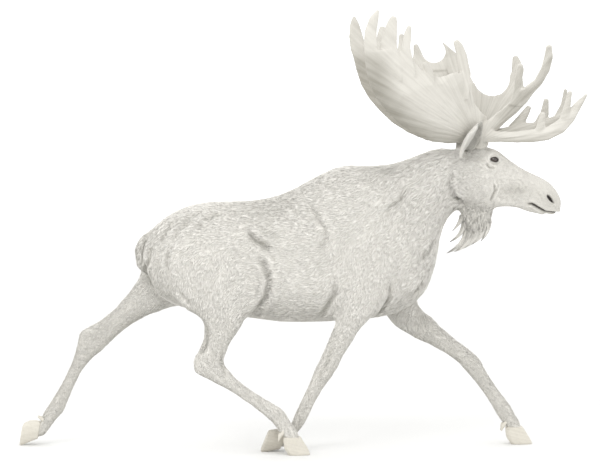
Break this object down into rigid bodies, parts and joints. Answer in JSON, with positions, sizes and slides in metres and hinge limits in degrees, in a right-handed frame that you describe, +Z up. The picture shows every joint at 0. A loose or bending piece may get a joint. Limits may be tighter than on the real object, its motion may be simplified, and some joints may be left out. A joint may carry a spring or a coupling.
{
  "type": "trotting bull moose museum model",
  "caption": "Life-size still model of a bull moose at a stretched trot, pale coat, broad palmed antlers, bell under the throat, standing on its own four feet.",
  "frame": {"origin": "on the floor, under the middle of the bounding box", "axes": "+X towards the head, +Y towards the animal's left side, +Z up"},
  "size_m": [3.6322, 1.2554, 2.7878],
  "materials": {
    "coat": "cream-white hair, grey-beige in the shaded parts",
    "horn": "pale horn, satin",
    "antler": "pale bone, dry",
    "eye": "wet, very dark brown"
  },
  "bodies": {
    "root": {"hoof_hind_right_inner": "horn", "dewclaw_hind_right_inner": "horn", "hoof_hind_right_outer": "horn", "dewclaw_hind_right_outer": "horn", "cannon_hind_right": "coat", "gaskin_right": "coat", "hoof_hind_left_inner": "horn", "dewclaw_hind_left_inner": "horn", "hoof_hind_left_outer": "horn", "dewclaw_hind_left_outer": "horn", "cannon_hind_left": "coat", "gaskin_left": "coat", "hoof_fore_right_inner": "horn", "dewclaw_fore_right_inner": "horn", "hoof_fore_right_outer": "horn", "dewclaw_fore_right_outer": "horn", "cannon_fore_right": "coat", "forearm_right": "coat", "hoof_fore_left_inner": "horn", "dewclaw_fore_left_inner": "horn", "hoof_fore_left_outer": "horn", "dewclaw_fore_left_outer": "horn", "cannon_fore_left": "coat", "forearm_left": "coat", "eye_right": "eye", "ear_right": "coat", "antler_right_fork": "antler", "antler_right_brow": "antler", "antler_right_palm": "antler", "eye_left": "eye", "ear_left": "coat", "antler_left_fork": "antler", "antler_left_brow": "antler", "antler_left_palm": "antler", "bell": "coat", "tail": "coat", "thigh_right": "coat", "thigh_left": "coat", "shoulder_right": "coat", "shoulder_left": "coat", "head": "coat", "neck": "coat", "trunk": "coat"}
  },
  "joints": []
}
